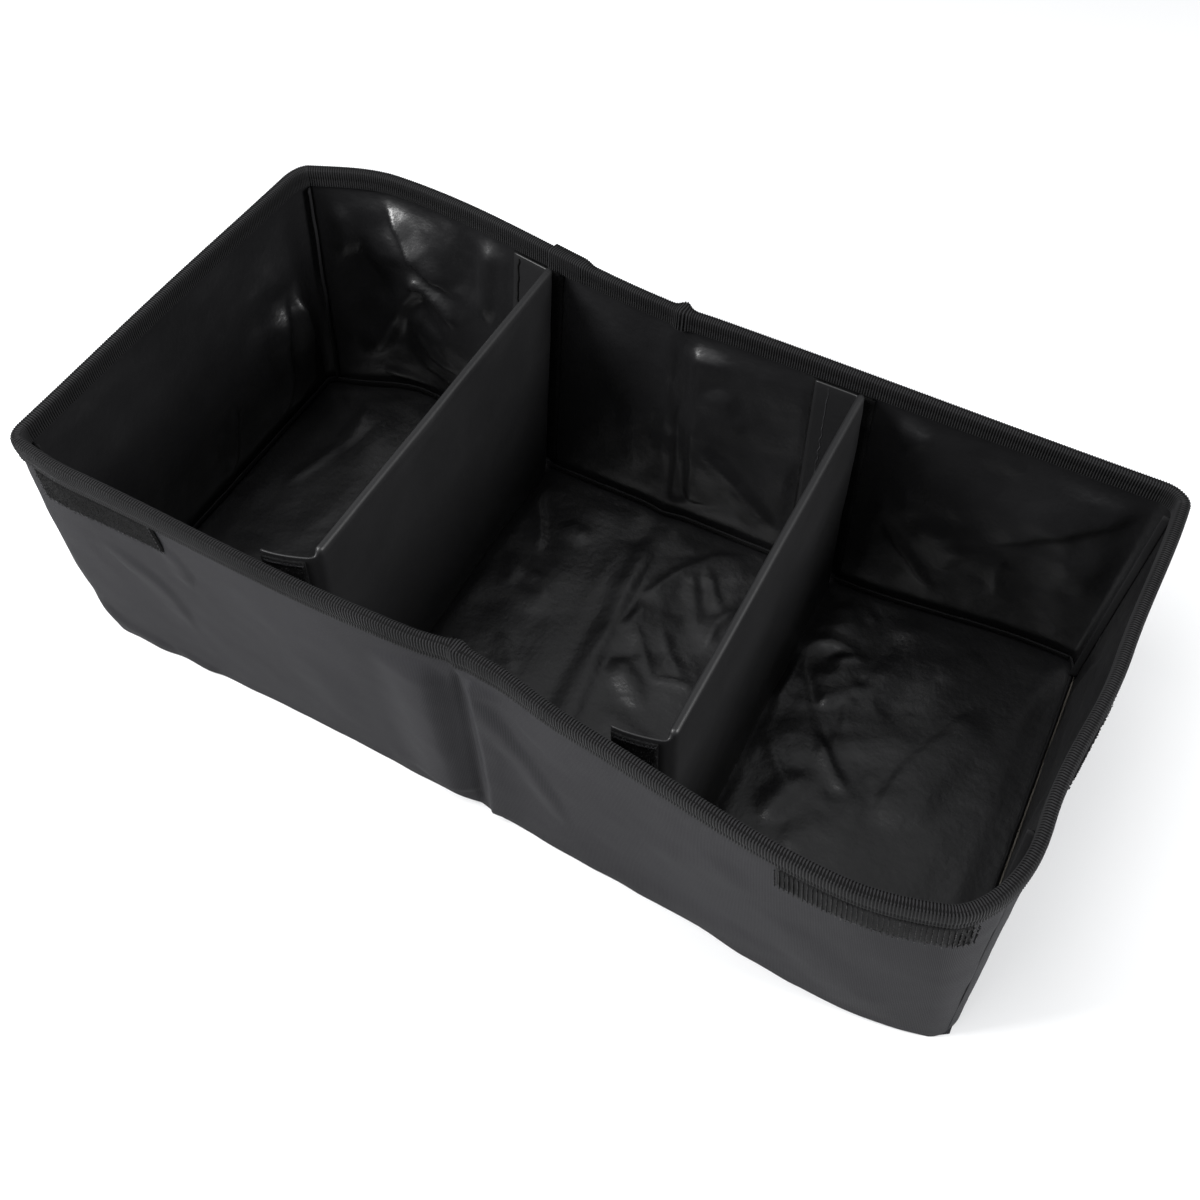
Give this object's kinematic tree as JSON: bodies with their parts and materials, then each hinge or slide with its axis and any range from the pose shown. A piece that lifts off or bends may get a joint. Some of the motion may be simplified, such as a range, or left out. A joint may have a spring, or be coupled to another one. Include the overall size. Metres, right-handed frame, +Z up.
{
  "type": "fold-flat fabric organizer bin",
  "caption": "Open fabric bin for a car with stiffened walls, a bound rim and removable dividers that grip the walls with hook-and-loop tabs.",
  "frame": {"origin": "on the flat underside, in the middle of the straight rectangle of the walls", "axes": "+X along the length, from the left end to the right end of the picture; -Y the front wall, +Z up out of the open top"},
  "size_m": [0.5066, 0.2868, 0.1601],
  "materials": {
    "outer_fabric": "matte fine twill woven polyester, near black with a grey sheen in the light",
    "coated_lining": "smooth coated cloth, black, soft satin gloss, wrinkled",
    "divider_fabric": "coated cloth over a board, black, satin",
    "stiffener_board": "plain flat board, not seen",
    "binding_tape": "ribbed woven tape, black, matt",
    "hook_tape": "woven tape with short nylon hooks, black",
    "loop_pile": "brushed loop pile on woven tape, black, fuzzy"
  },
  "bodies": {
    "root": {"front_outer_panel": "outer_fabric", "back_outer_panel": "outer_fabric", "left_end_outer_panel": "outer_fabric", "right_end_outer_panel": "outer_fabric", "bottom_outer_panel": "outer_fabric", "front_lining": "coated_lining", "back_lining": "coated_lining", "left_end_lining": "coated_lining", "right_end_lining": "coated_lining", "floor_lining": "coated_lining", "front_board_left": "stiffener_board", "front_board_right": "stiffener_board", "back_board_left": "stiffener_board", "back_board_right": "stiffener_board", "left_end_board": "stiffener_board", "right_end_board": "stiffener_board", "floor_board_left": "stiffener_board", "floor_board_right": "stiffener_board", "rim_binding": "binding_tape", "floor_seam_binding": "binding_tape", "front_left_seam_binding": "binding_tape", "front_right_seam_binding": "binding_tape", "back_left_seam_binding": "binding_tape", "back_right_seam_binding": "binding_tape", "left_divider_board": "stiffener_board", "left_divider_cover": "divider_fabric", "left_divider_front_hook_tape": "hook_tape", "left_divider_front_wall_loop": "loop_pile", "left_divider_back_hook_tape": "hook_tape", "left_divider_back_wall_loop": "loop_pile", "right_divider_board": "stiffener_board", "right_divider_cover": "divider_fabric", "right_divider_front_hook_tape": "hook_tape", "right_divider_front_wall_loop": "loop_pile", "right_divider_back_hook_tape": "hook_tape", "right_divider_back_wall_loop": "loop_pile", "front_left_strip": "loop_pile", "front_right_strip": "hook_tape", "right_end_strip": "loop_pile"}
  },
  "joints": []
}
